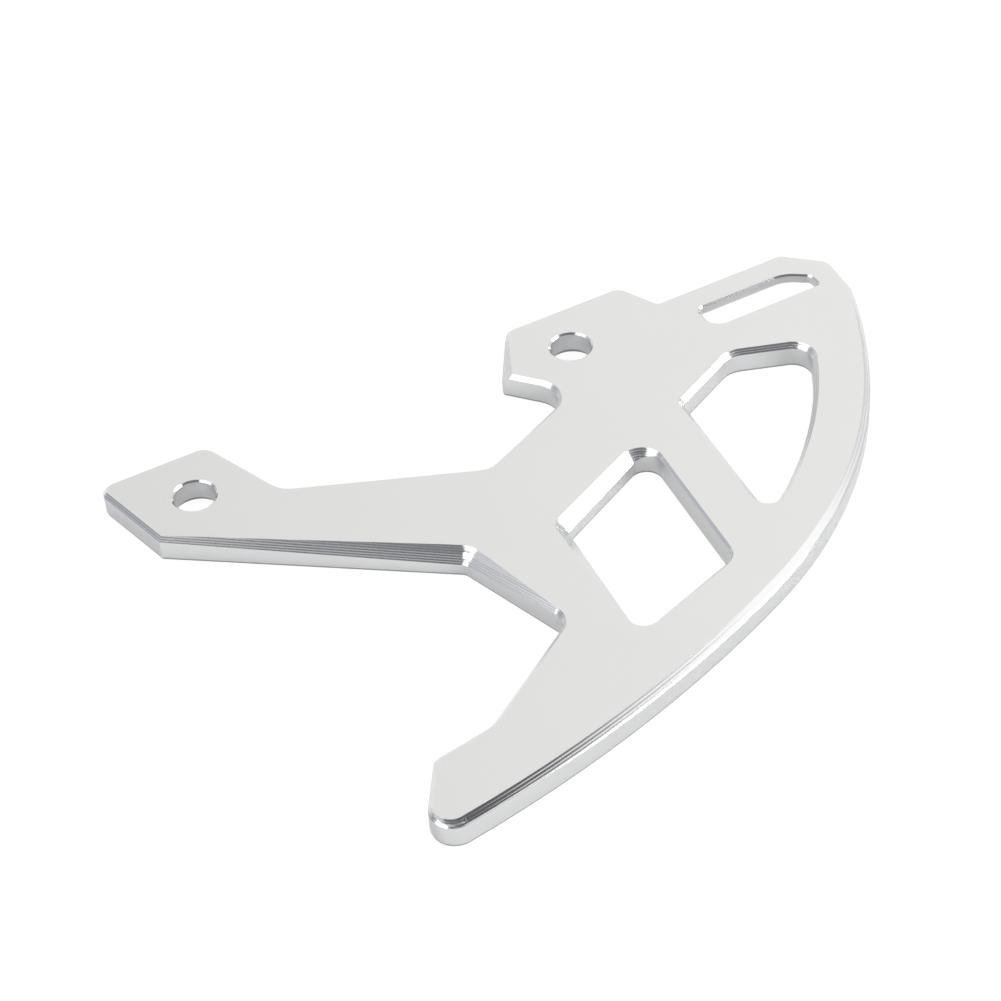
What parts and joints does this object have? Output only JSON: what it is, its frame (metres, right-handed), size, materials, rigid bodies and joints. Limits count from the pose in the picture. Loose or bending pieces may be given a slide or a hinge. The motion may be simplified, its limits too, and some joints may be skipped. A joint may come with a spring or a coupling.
{
  "type": "brake disc guard",
  "caption": "Flat machined aluminium guard plate for a motorcycle brake disc, with bolt holes, weight-saving windows and a slotted fin.",
  "frame": {"origin": "midway between the axes of the two bolt holes, on the flat back face", "axes": "+Z out of the bevelled front face, +X from the bolt hole of the plain lug to the bolt hole beside the fin, -Y towards the curved flank"},
  "size_m": [0.1778, 0.1263, 0.006],
  "materials": {
    "satin_aluminium": "pale satin face with bright milled bevels"
  },
  "bodies": {
    "root": {"disc_guard": "satin_aluminium"}
  },
  "joints": []
}
